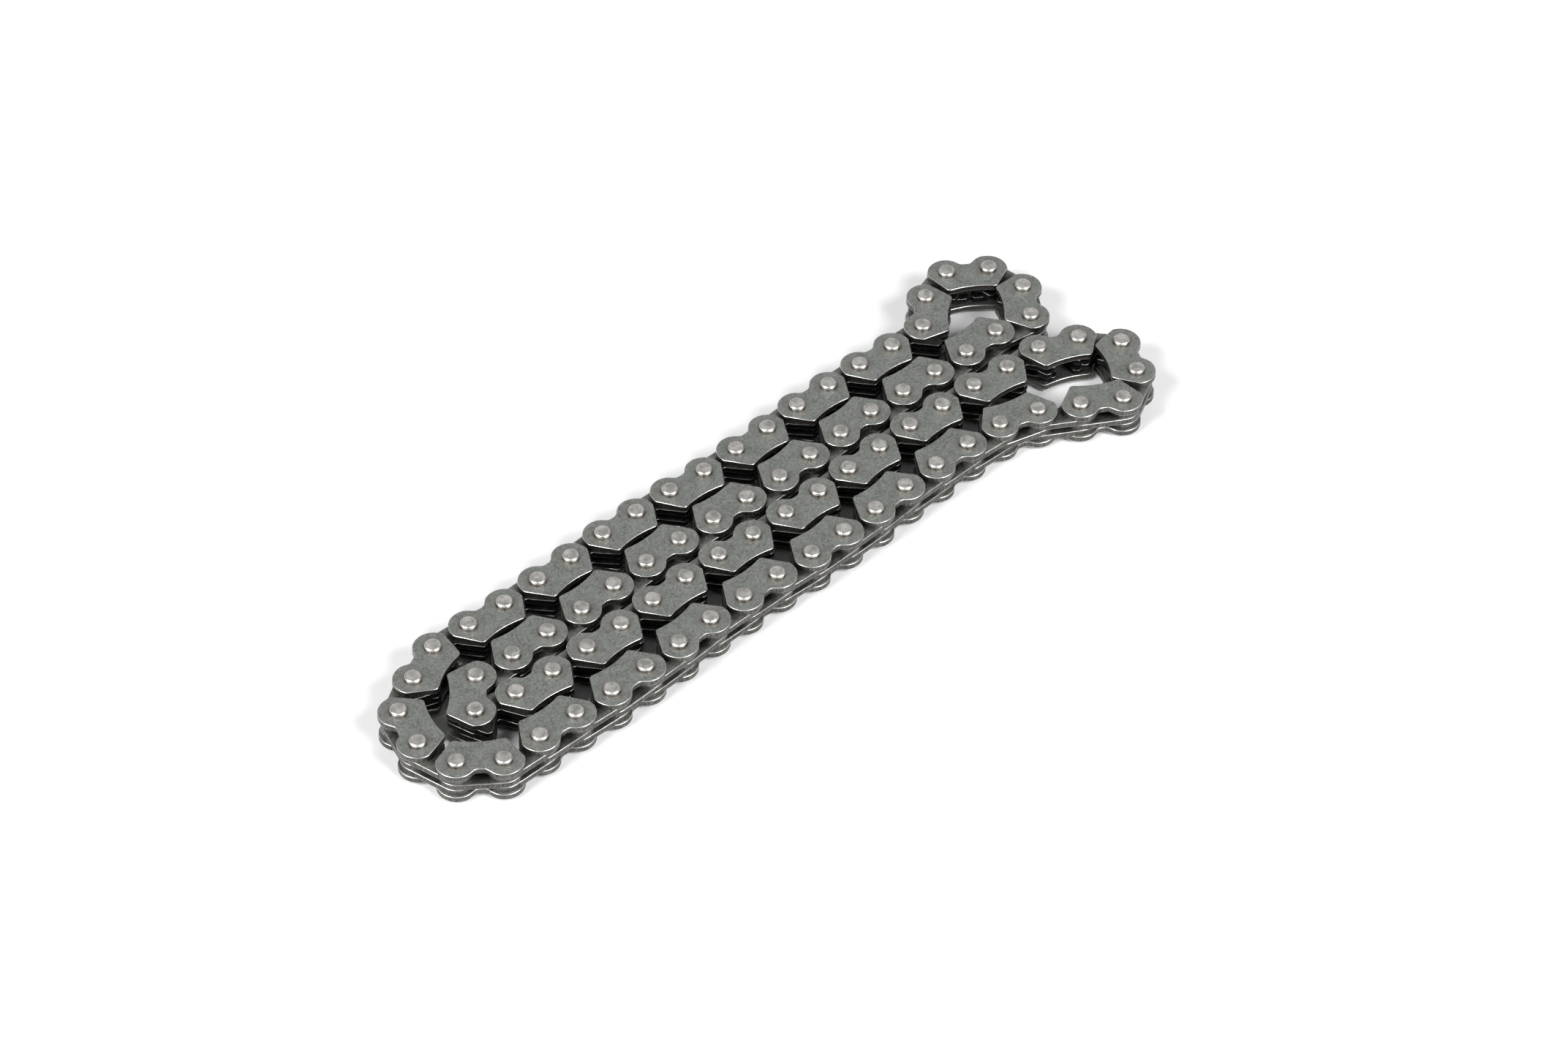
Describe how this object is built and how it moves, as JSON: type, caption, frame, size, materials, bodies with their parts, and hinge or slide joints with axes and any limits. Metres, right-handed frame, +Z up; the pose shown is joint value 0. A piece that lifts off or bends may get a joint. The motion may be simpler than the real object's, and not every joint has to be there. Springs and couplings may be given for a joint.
{
  "type": "silent timing chain",
  "caption": "Endless inverted-tooth chain of stacked plates on upright pins, lying flat and folded into four rows with round end loops.",
  "frame": {"origin": "centre of the folded chain's bounding box, level with the lower pin ends", "axes": "+X along the four rows, towards the two end loops of the arms; +Z up along the pins"},
  "size_m": [0.1328, 0.0422, 0.0063],
  "materials": {
    "guide_steel": "stamped, tumbled and oiled dark grey steel with burnished edges",
    "knuckle_steel": "stamped steel, darker and oily between the guide plates",
    "pin_steel": "bright hardened steel with a rounded rim"
  },
  "bodies": {
    "guide_link_01": {"guide_link_01": "guide_steel"},
    "link_pair_02": {"link_pair_02": "guide_steel"},
    "link_pair_03": {"link_pair_03": "guide_steel"},
    "guide_link_04": {"guide_link_04": "guide_steel"},
    "link_pair_05": {"link_pair_05": "guide_steel"},
    "link_pair_06": {"link_pair_06": "guide_steel"},
    "link_pair_07": {"link_pair_07": "guide_steel"},
    "guide_link_08": {"guide_link_08": "guide_steel"},
    "guide_link_09": {"guide_link_09": "guide_steel"},
    "guide_link_10": {"guide_link_10": "guide_steel"},
    "guide_link_11": {"guide_link_11": "guide_steel"},
    "guide_link_12": {"guide_link_12": "guide_steel"},
    "link_pair_13": {"link_pair_13": "guide_steel"},
    "link_pair_14": {"link_pair_14": "guide_steel"},
    "link_pair_15": {"link_pair_15": "guide_steel"},
    "link_pair_16": {"link_pair_16": "guide_steel"},
    "link_pair_17": {"link_pair_17": "guide_steel"},
    "link_pair_18": {"link_pair_18": "guide_steel"},
    "guide_link_19": {"guide_link_19": "guide_steel"},
    "guide_link_20": {"guide_link_20": "guide_steel"},
    "guide_link_21": {"guide_link_21": "guide_steel"},
    "link_pair_22": {"link_pair_22": "guide_steel"},
    "link_pair_23": {"link_pair_23": "guide_steel"},
    "guide_link_24": {"guide_link_24": "guide_steel"},
    "link_pair_25": {"link_pair_25": "guide_steel"},
    "link_pair_26": {"link_pair_26": "guide_steel"},
    "link_pair_27": {"link_pair_27": "guide_steel"},
    "guide_link_28": {"guide_link_28": "guide_steel"},
    "guide_link_29": {"guide_link_29": "guide_steel"},
    "guide_link_30": {"guide_link_30": "guide_steel"},
    "guide_link_31": {"guide_link_31": "guide_steel"},
    "guide_link_32": {"guide_link_32": "guide_steel"},
    "link_pair_33": {"link_pair_33": "guide_steel"},
    "link_pair_34": {"link_pair_34": "guide_steel"},
    "link_pair_35": {"link_pair_35": "guide_steel"},
    "link_pair_36": {"link_pair_36": "guide_steel"},
    "link_pair_37": {"link_pair_37": "guide_steel"},
    "link_pair_38": {"link_pair_38": "guide_steel"},
    "guide_link_39": {"guide_link_39": "guide_steel"},
    "guide_link_40": {"guide_link_40": "guide_steel"},
    "guide_link_41": {"guide_link_41": "guide_steel"},
    "knuckle_link_01": {"knuckle_link_01": "knuckle_steel"},
    "knuckle_link_04": {"knuckle_link_04": "knuckle_steel"},
    "knuckle_link_08": {"knuckle_link_08": "knuckle_steel"},
    "knuckle_link_09": {"knuckle_link_09": "knuckle_steel"},
    "knuckle_link_10": {"knuckle_link_10": "knuckle_steel"},
    "knuckle_link_11": {"knuckle_link_11": "knuckle_steel"},
    "knuckle_link_12": {"knuckle_link_12": "knuckle_steel"},
    "knuckle_link_19": {"knuckle_link_19": "knuckle_steel"},
    "knuckle_link_20": {"knuckle_link_20": "knuckle_steel"},
    "knuckle_link_21": {"knuckle_link_21": "knuckle_steel"},
    "knuckle_link_24": {"knuckle_link_24": "knuckle_steel"},
    "knuckle_link_28": {"knuckle_link_28": "knuckle_steel"},
    "knuckle_link_29": {"knuckle_link_29": "knuckle_steel"},
    "knuckle_link_30": {"knuckle_link_30": "knuckle_steel"},
    "knuckle_link_31": {"knuckle_link_31": "knuckle_steel"},
    "knuckle_link_32": {"knuckle_link_32": "knuckle_steel"},
    "knuckle_link_39": {"knuckle_link_39": "knuckle_steel"},
    "knuckle_link_40": {"knuckle_link_40": "knuckle_steel"},
    "knuckle_link_41": {"knuckle_link_41": "knuckle_steel"}
  },
  "joints": [
    {"name": "pin_00_pivot", "type": "hinge", "parent": "knuckle_link_41", "child": "guide_link_01", "pos_m": [-0.05621, 0.01026, 0.00313], "axis": [0, 0, 1], "range_deg": [-25.41, 0]},
    {"name": "pin_01_pivot", "type": "hinge", "parent": "guide_link_01", "child": "knuckle_link_01", "pos_m": [-0.0504, 0.01281, 0.00313], "axis": [0, 0, 1], "range_deg": [-0.85, 0]},
    {"name": "pin_02_pivot", "type": "hinge", "parent": "knuckle_link_01", "child": "link_pair_02", "pos_m": [-0.04405, 0.01264, 0.00313], "axis": [0, 0, 1], "range_deg": [0, 27.72]},
    {"name": "pin_04_pivot", "type": "hinge", "parent": "link_pair_02", "child": "link_pair_03", "pos_m": [-0.03136, 0.01249, 0.00313], "axis": [0, 0, 1], "range_deg": [0, 3.43]},
    {"name": "pin_06_pivot", "type": "hinge", "parent": "link_pair_03", "child": "guide_link_04", "pos_m": [-0.01867, 0.01299, 0.00313], "axis": [0, 0, 1], "range_deg": [0, 2.52]},
    {"name": "pin_07_pivot", "type": "hinge", "parent": "guide_link_04", "child": "knuckle_link_04", "pos_m": [-0.01232, 0.01289, 0.00313], "axis": [0, 0, 1], "range_deg": [0, 1.64]},
    {"name": "pin_08_pivot", "type": "hinge", "parent": "knuckle_link_04", "child": "link_pair_05", "pos_m": [-0.00597, 0.01275, 0.00313], "axis": [0, 0, 1], "range_deg": [0, 2.43]},
    {"name": "pin_10_pivot", "type": "hinge", "parent": "link_pair_05", "child": "link_pair_06", "pos_m": [0.00672, 0.01244, 0.00313], "axis": [0, 0, 1], "range_deg": [0, 3.18]},
    {"name": "pin_12_pivot", "type": "hinge", "parent": "link_pair_06", "child": "link_pair_07", "pos_m": [0.0194, 0.01291, 0.00313], "axis": [0, 0, 1], "range_deg": [0, 3.22]},
    {"name": "pin_14_pivot", "type": "hinge", "parent": "link_pair_07", "child": "guide_link_08", "pos_m": [0.0321, 0.01286, 0.00313], "axis": [0, 0, 1], "range_deg": [0, 3.28]},
    {"name": "pin_15_pivot", "type": "hinge", "parent": "guide_link_08", "child": "knuckle_link_08", "pos_m": [0.03844, 0.01248, 0.00313], "axis": [0, 0, 1], "range_deg": [-6.25, 0]},
    {"name": "pin_16_pivot", "type": "hinge", "parent": "knuckle_link_08", "child": "guide_link_09", "pos_m": [0.04479, 0.01242, 0.00313], "axis": [0, 0, 1], "range_deg": [-7.05, 0]},
    {"name": "pin_17_pivot", "type": "hinge", "parent": "guide_link_09", "child": "knuckle_link_09", "pos_m": [0.04958, 0.01659, 0.00313], "axis": [0, 0, 1], "range_deg": [-3.48, 0]},
    {"name": "pin_18_pivot", "type": "hinge", "parent": "knuckle_link_09", "child": "guide_link_10", "pos_m": [0.05572, 0.01823, 0.00313], "axis": [0, 0, 1], "range_deg": [-1.96, 0]},
    {"name": "pin_19_pivot", "type": "hinge", "parent": "guide_link_10", "child": "knuckle_link_10", "pos_m": [0.06098, 0.01468, 0.00313], "axis": [0, 0, 1], "range_deg": [0, 3.68]},
    {"name": "pin_20_pivot", "type": "hinge", "parent": "knuckle_link_10", "child": "guide_link_11", "pos_m": [0.06176, 0.00838, 0.00313], "axis": [0, 0, 1], "range_deg": [-3.95, 0]},
    {"name": "pin_21_pivot", "type": "hinge", "parent": "guide_link_11", "child": "knuckle_link_11", "pos_m": [0.05802, 0.00324, 0.00313], "axis": [0, 0, 1], "range_deg": [0, 2.74]},
    {"name": "pin_22_pivot", "type": "hinge", "parent": "knuckle_link_11", "child": "guide_link_12", "pos_m": [0.05178, 0.00438, 0.00313], "axis": [0, 0, 1], "range_deg": [0, 7.43]},
    {"name": "upper_arm_curl", "type": "hinge", "parent": "guide_link_12", "child": "knuckle_link_12", "pos_m": [0.04543, 0.00417, 0.00313], "axis": [0, 0, 1], "range_deg": [0, 8.85]},
    {"name": "pin_24_pivot", "type": "hinge", "parent": "knuckle_link_12", "child": "link_pair_13", "pos_m": [0.03909, 0.00443, 0.00313], "axis": [0, 0, 1], "range_deg": [-3.1, 0]},
    {"name": "pin_26_pivot", "type": "hinge", "parent": "link_pair_13", "child": "link_pair_14", "pos_m": [0.02639, 0.00487, 0.00313], "axis": [0, 0, 1], "range_deg": [-3.13, 0]},
    {"name": "pin_28_pivot", "type": "hinge", "parent": "link_pair_14", "child": "link_pair_15", "pos_m": [0.0137, 0.00449, 0.00313], "axis": [0, 0, 1], "range_deg": [-3.16, 0]},
    {"name": "pin_30_pivot", "type": "hinge", "parent": "link_pair_15", "child": "link_pair_16", "pos_m": [0.00101, 0.00434, 0.00313], "axis": [0, 0, 1], "range_deg": [-3.12, 0]},
    {"name": "pin_32_pivot", "type": "hinge", "parent": "link_pair_16", "child": "link_pair_17", "pos_m": [-0.01168, 0.00484, 0.00313], "axis": [0, 0, 1], "range_deg": [-3.02, 0]},
    {"name": "pin_34_pivot", "type": "hinge", "parent": "link_pair_17", "child": "link_pair_18", "pos_m": [-0.02438, 0.0046, 0.00313], "axis": [0, 0, 1], "range_deg": [-2.94, 0]},
    {"name": "pin_36_pivot", "type": "hinge", "parent": "link_pair_18", "child": "guide_link_19", "pos_m": [-0.03707, 0.00429, 0.00313], "axis": [0, 0, 1], "range_deg": [-1.33, 0]},
    {"name": "pin_37_pivot", "type": "hinge", "parent": "guide_link_19", "child": "knuckle_link_19", "pos_m": [-0.04342, 0.00439, 0.00313], "axis": [0, 0, 1], "range_deg": [-3.03, 0]},
    {"name": "pin_38_pivot", "type": "hinge", "parent": "knuckle_link_19", "child": "guide_link_20", "pos_m": [-0.04976, 0.00476, 0.00313], "axis": [0, 0, 1], "range_deg": [-10.16, 0]},
    {"name": "pin_40_pivot", "type": "hinge", "parent": "guide_link_21", "child": "knuckle_link_20", "pos_m": [-0.04781, -0.00126, 0.00313], "axis": [0, 0, -1], "range_deg": [-7.95, 0]},
    {"name": "pin_41_pivot", "type": "hinge", "parent": "knuckle_link_21", "child": "guide_link_21", "pos_m": [-0.04147, -0.00164, 0.00313], "axis": [0, 0, -1], "range_deg": [-2.87, 0]},
    {"name": "pin_42_pivot", "type": "hinge", "parent": "link_pair_22", "child": "knuckle_link_21", "pos_m": [-0.03512, -0.00168, 0.00313], "axis": [0, 0, -1], "range_deg": [-2.67, 0]},
    {"name": "pin_44_pivot", "type": "hinge", "parent": "link_pair_23", "child": "link_pair_22", "pos_m": [-0.02243, -0.00126, 0.00313], "axis": [0, 0, -1], "range_deg": [-2.8, 0]},
    {"name": "pin_46_pivot", "type": "hinge", "parent": "guide_link_24", "child": "link_pair_23", "pos_m": [-0.00973, -0.00117, 0.00313], "axis": [0, 0, -1], "range_deg": [-2.18, 0]},
    {"name": "pin_47_pivot", "type": "hinge", "parent": "knuckle_link_24", "child": "guide_link_24", "pos_m": [-0.00339, -0.00154, 0.00313], "axis": [0, 0, -1], "range_deg": [-1.49, 0]},
    {"name": "pin_48_pivot", "type": "hinge", "parent": "link_pair_25", "child": "knuckle_link_24", "pos_m": [0.00296, -0.00165, 0.00313], "axis": [0, 0, -1], "range_deg": [-2.28, 0]},
    {"name": "pin_50_pivot", "type": "hinge", "parent": "link_pair_26", "child": "link_pair_25", "pos_m": [0.01565, -0.00138, 0.00313], "axis": [0, 0, -1], "range_deg": [-3.1, 0]},
    {"name": "pin_52_pivot", "type": "hinge", "parent": "link_pair_27", "child": "link_pair_26", "pos_m": [0.02834, -0.0011, 0.00313], "axis": [0, 0, -1], "range_deg": [-3.14, 0]},
    {"name": "pin_54_pivot", "type": "hinge", "parent": "guide_link_28", "child": "link_pair_27", "pos_m": [0.04103, -0.00159, 0.00313], "axis": [0, 0, -1], "range_deg": [-2.31, 0]},
    {"name": "lower_arm_curl", "type": "hinge", "parent": "knuckle_link_28", "child": "guide_link_28", "pos_m": [0.04735, -0.00225, 0.00313], "axis": [0, 0, -1], "range_deg": [0, 8.15]},
    {"name": "pin_56_pivot", "type": "hinge", "parent": "guide_link_29", "child": "knuckle_link_28", "pos_m": [0.05369, -0.00248, 0.00313], "axis": [0, 0, -1], "range_deg": [0, 5.79]},
    {"name": "pin_57_pivot", "type": "hinge", "parent": "knuckle_link_29", "child": "guide_link_29", "pos_m": [0.05954, -0.00496, 0.00313], "axis": [0, 0, -1], "range_deg": [0, 5.32]},
    {"name": "pin_58_pivot", "type": "hinge", "parent": "guide_link_30", "child": "knuckle_link_29", "pos_m": [0.06354, -0.00989, 0.00313], "axis": [0, 0, -1], "range_deg": [-3.17, 0]},
    {"name": "pin_59_pivot", "type": "hinge", "parent": "knuckle_link_30", "child": "guide_link_30", "pos_m": [0.06065, -0.01555, 0.00313], "axis": [0, 0, -1], "range_deg": [-0.57, 0]},
    {"name": "pin_60_pivot", "type": "hinge", "parent": "guide_link_31", "child": "knuckle_link_30", "pos_m": [0.0549, -0.01823, 0.00313], "axis": [0, 0, -1], "range_deg": [-1.29, 0]},
    {"name": "pin_61_pivot", "type": "hinge", "parent": "knuckle_link_31", "child": "guide_link_31", "pos_m": [0.04951, -0.01487, 0.00313], "axis": [0, 0, -1], "range_deg": [-2.09, 0]},
    {"name": "pin_62_pivot", "type": "hinge", "parent": "guide_link_32", "child": "knuckle_link_31", "pos_m": [0.04413, -0.0115, 0.00313], "axis": [0, 0, -1], "range_deg": [-3.95, 0]},
    {"name": "pin_63_pivot", "type": "hinge", "parent": "knuckle_link_32", "child": "guide_link_32", "pos_m": [0.03803, -0.00971, 0.00313], "axis": [0, 0, -1], "range_deg": [-8.22, 0]},
    {"name": "pin_64_pivot", "type": "hinge", "parent": "link_pair_33", "child": "knuckle_link_32", "pos_m": [0.0317, -0.00934, 0.00313], "axis": [0, 0, -1], "range_deg": [0, 1.7]},
    {"name": "pin_66_pivot", "type": "hinge", "parent": "link_pair_34", "child": "link_pair_33", "pos_m": [0.019, -0.00939, 0.00313], "axis": [0, 0, -1], "range_deg": [0, 3.46]},
    {"name": "pin_68_pivot", "type": "hinge", "parent": "link_pair_35", "child": "link_pair_34", "pos_m": [0.00631, -0.00983, 0.00313], "axis": [0, 0, -1], "range_deg": [0, 3.5]},
    {"name": "pin_70_pivot", "type": "hinge", "parent": "link_pair_36", "child": "link_pair_35", "pos_m": [-0.00638, -0.00944, 0.00313], "axis": [0, 0, -1], "range_deg": [0, 3.56]},
    {"name": "pin_72_pivot", "type": "hinge", "parent": "link_pair_37", "child": "link_pair_36", "pos_m": [-0.01908, -0.0093, 0.00313], "axis": [0, 0, -1], "range_deg": [0, 3.67]},
    {"name": "pin_74_pivot", "type": "hinge", "parent": "link_pair_38", "child": "link_pair_37", "pos_m": [-0.03177, -0.00979, 0.00313], "axis": [0, 0, -1], "range_deg": [0, 3.8]},
    {"name": "pin_76_pivot", "type": "hinge", "parent": "guide_link_39", "child": "link_pair_38", "pos_m": [-0.04446, -0.00956, 0.00313], "axis": [0, 0, -1], "range_deg": [0, 29.37]},
    {"name": "pin_77_pivot", "type": "hinge", "parent": "knuckle_link_39", "child": "guide_link_39", "pos_m": [-0.05081, -0.0094, 0.00313], "axis": [0, 0, -1], "range_deg": [0, 0.78]},
    {"name": "pin_78_pivot", "type": "hinge", "parent": "guide_link_40", "child": "knuckle_link_39", "pos_m": [-0.05716, -0.00924, 0.00313], "axis": [0, 0, -1], "range_deg": [-27.93, 0]},
    {"name": "pin_79_pivot", "type": "hinge", "parent": "knuckle_link_40", "child": "guide_link_40", "pos_m": [-0.06209, -0.00524, 0.00313], "axis": [0, 0, -1], "range_deg": [0, 4.98]},
    {"name": "fold_opening", "type": "hinge", "parent": "guide_link_41", "child": "knuckle_link_40", "pos_m": [-0.06352, 0.00094, 0.00313], "axis": [0, 0, -1], "range_deg": [0, 54.87]},
    {"name": "pin_81_pivot", "type": "hinge", "parent": "guide_link_41", "child": "knuckle_link_41", "pos_m": [-0.06167, 0.00702, 0.00313], "axis": [0, 0, 1], "range_deg": [-3.53, 0]}
  ],
  "couplings": [
    {"joint": "pin_00_pivot", "follows": "fold_opening", "ratio": -0.46227},
    {"joint": "pin_01_pivot", "follows": "fold_opening", "ratio": -0.014643},
    {"joint": "pin_02_pivot", "follows": "fold_opening", "ratio": 0.50431},
    {"joint": "pin_04_pivot", "follows": "upper_arm_curl", "ratio": 0.38171},
    {"joint": "pin_06_pivot", "follows": "upper_arm_curl", "ratio": 0.27857},
    {"joint": "pin_07_pivot", "follows": "upper_arm_curl", "ratio": 0.17932},
    {"joint": "pin_08_pivot", "follows": "upper_arm_curl", "ratio": 0.26839},
    {"joint": "pin_10_pivot", "follows": "upper_arm_curl", "ratio": 0.35399},
    {"joint": "pin_12_pivot", "follows": "upper_arm_curl", "ratio": 0.35787},
    {"joint": "pin_14_pivot", "follows": "upper_arm_curl", "ratio": 0.36538},
    {"joint": "pin_15_pivot", "follows": "upper_arm_curl", "ratio": -0.7007},
    {"joint": "pin_16_pivot", "follows": "upper_arm_curl", "ratio": -0.79072},
    {"joint": "pin_17_pivot", "follows": "upper_arm_curl", "ratio": -0.3877},
    {"joint": "pin_18_pivot", "follows": "upper_arm_curl", "ratio": -0.21551},
    {"joint": "pin_19_pivot", "follows": "upper_arm_curl", "ratio": 0.40966},
    {"joint": "pin_20_pivot", "follows": "upper_arm_curl", "ratio": -0.44082},
    {"joint": "pin_21_pivot", "follows": "upper_arm_curl", "ratio": 0.30438},
    {"joint": "pin_22_pivot", "follows": "upper_arm_curl", "ratio": 0.83396},
    {"joint": "pin_24_pivot", "follows": "upper_arm_curl", "ratio": -0.34423},
    {"joint": "pin_26_pivot", "follows": "upper_arm_curl", "ratio": -0.34775},
    {"joint": "pin_28_pivot", "follows": "upper_arm_curl", "ratio": -0.35182},
    {"joint": "pin_30_pivot", "follows": "upper_arm_curl", "ratio": -0.34696},
    {"joint": "pin_32_pivot", "follows": "upper_arm_curl", "ratio": -0.33581},
    {"joint": "pin_34_pivot", "follows": "upper_arm_curl", "ratio": -0.32651},
    {"joint": "pin_36_pivot", "follows": "upper_arm_curl", "ratio": -0.1447},
    {"joint": "pin_37_pivot", "follows": "fold_opening", "ratio": -0.054305},
    {"joint": "pin_38_pivot", "follows": "fold_opening", "ratio": -0.18422},
    {"joint": "pin_40_pivot", "follows": "fold_opening", "ratio": -0.14396},
    {"joint": "pin_41_pivot", "follows": "fold_opening", "ratio": -0.051417},
    {"joint": "pin_42_pivot", "follows": "lower_arm_curl", "ratio": -0.3219},
    {"joint": "pin_44_pivot", "follows": "lower_arm_curl", "ratio": -0.33698},
    {"joint": "pin_46_pivot", "follows": "lower_arm_curl", "ratio": -0.26148},
    {"joint": "pin_47_pivot", "follows": "lower_arm_curl", "ratio": -0.17657},
    {"joint": "pin_48_pivot", "follows": "lower_arm_curl", "ratio": -0.27312},
    {"joint": "pin_50_pivot", "follows": "lower_arm_curl", "ratio": -0.3743},
    {"joint": "pin_52_pivot", "follows": "lower_arm_curl", "ratio": -0.37878},
    {"joint": "pin_54_pivot", "follows": "lower_arm_curl", "ratio": -0.27694},
    {"joint": "pin_56_pivot", "follows": "lower_arm_curl", "ratio": 0.70433},
    {"joint": "pin_57_pivot", "follows": "lower_arm_curl", "ratio": 0.6471},
    {"joint": "pin_58_pivot", "follows": "lower_arm_curl", "ratio": -0.38228},
    {"joint": "pin_59_pivot", "follows": "lower_arm_curl", "ratio": -0.063297},
    {"joint": "pin_60_pivot", "follows": "lower_arm_curl", "ratio": -0.15193},
    {"joint": "pin_61_pivot", "follows": "lower_arm_curl", "ratio": -0.25089},
    {"joint": "pin_62_pivot", "follows": "lower_arm_curl", "ratio": -0.47891},
    {"joint": "pin_63_pivot", "follows": "lower_arm_curl", "ratio": -1.0023},
    {"joint": "pin_64_pivot", "follows": "lower_arm_curl", "ratio": 0.20212},
    {"joint": "pin_66_pivot", "follows": "lower_arm_curl", "ratio": 0.4179},
    {"joint": "pin_68_pivot", "follows": "lower_arm_curl", "ratio": 0.42333},
    {"joint": "pin_70_pivot", "follows": "lower_arm_curl", "ratio": 0.43076},
    {"joint": "pin_72_pivot", "follows": "lower_arm_curl", "ratio": 0.44433},
    {"joint": "pin_74_pivot", "follows": "lower_arm_curl", "ratio": 0.45984},
    {"joint": "pin_76_pivot", "follows": "fold_opening", "ratio": 0.53442},
    {"joint": "pin_77_pivot", "follows": "fold_opening", "ratio": 0.013332},
    {"joint": "pin_78_pivot", "follows": "fold_opening", "ratio": -0.50806},
    {"joint": "pin_79_pivot", "follows": "fold_opening", "ratio": 0.089913},
    {"joint": "pin_81_pivot", "follows": "fold_opening", "ratio": -0.063472}
  ]
}
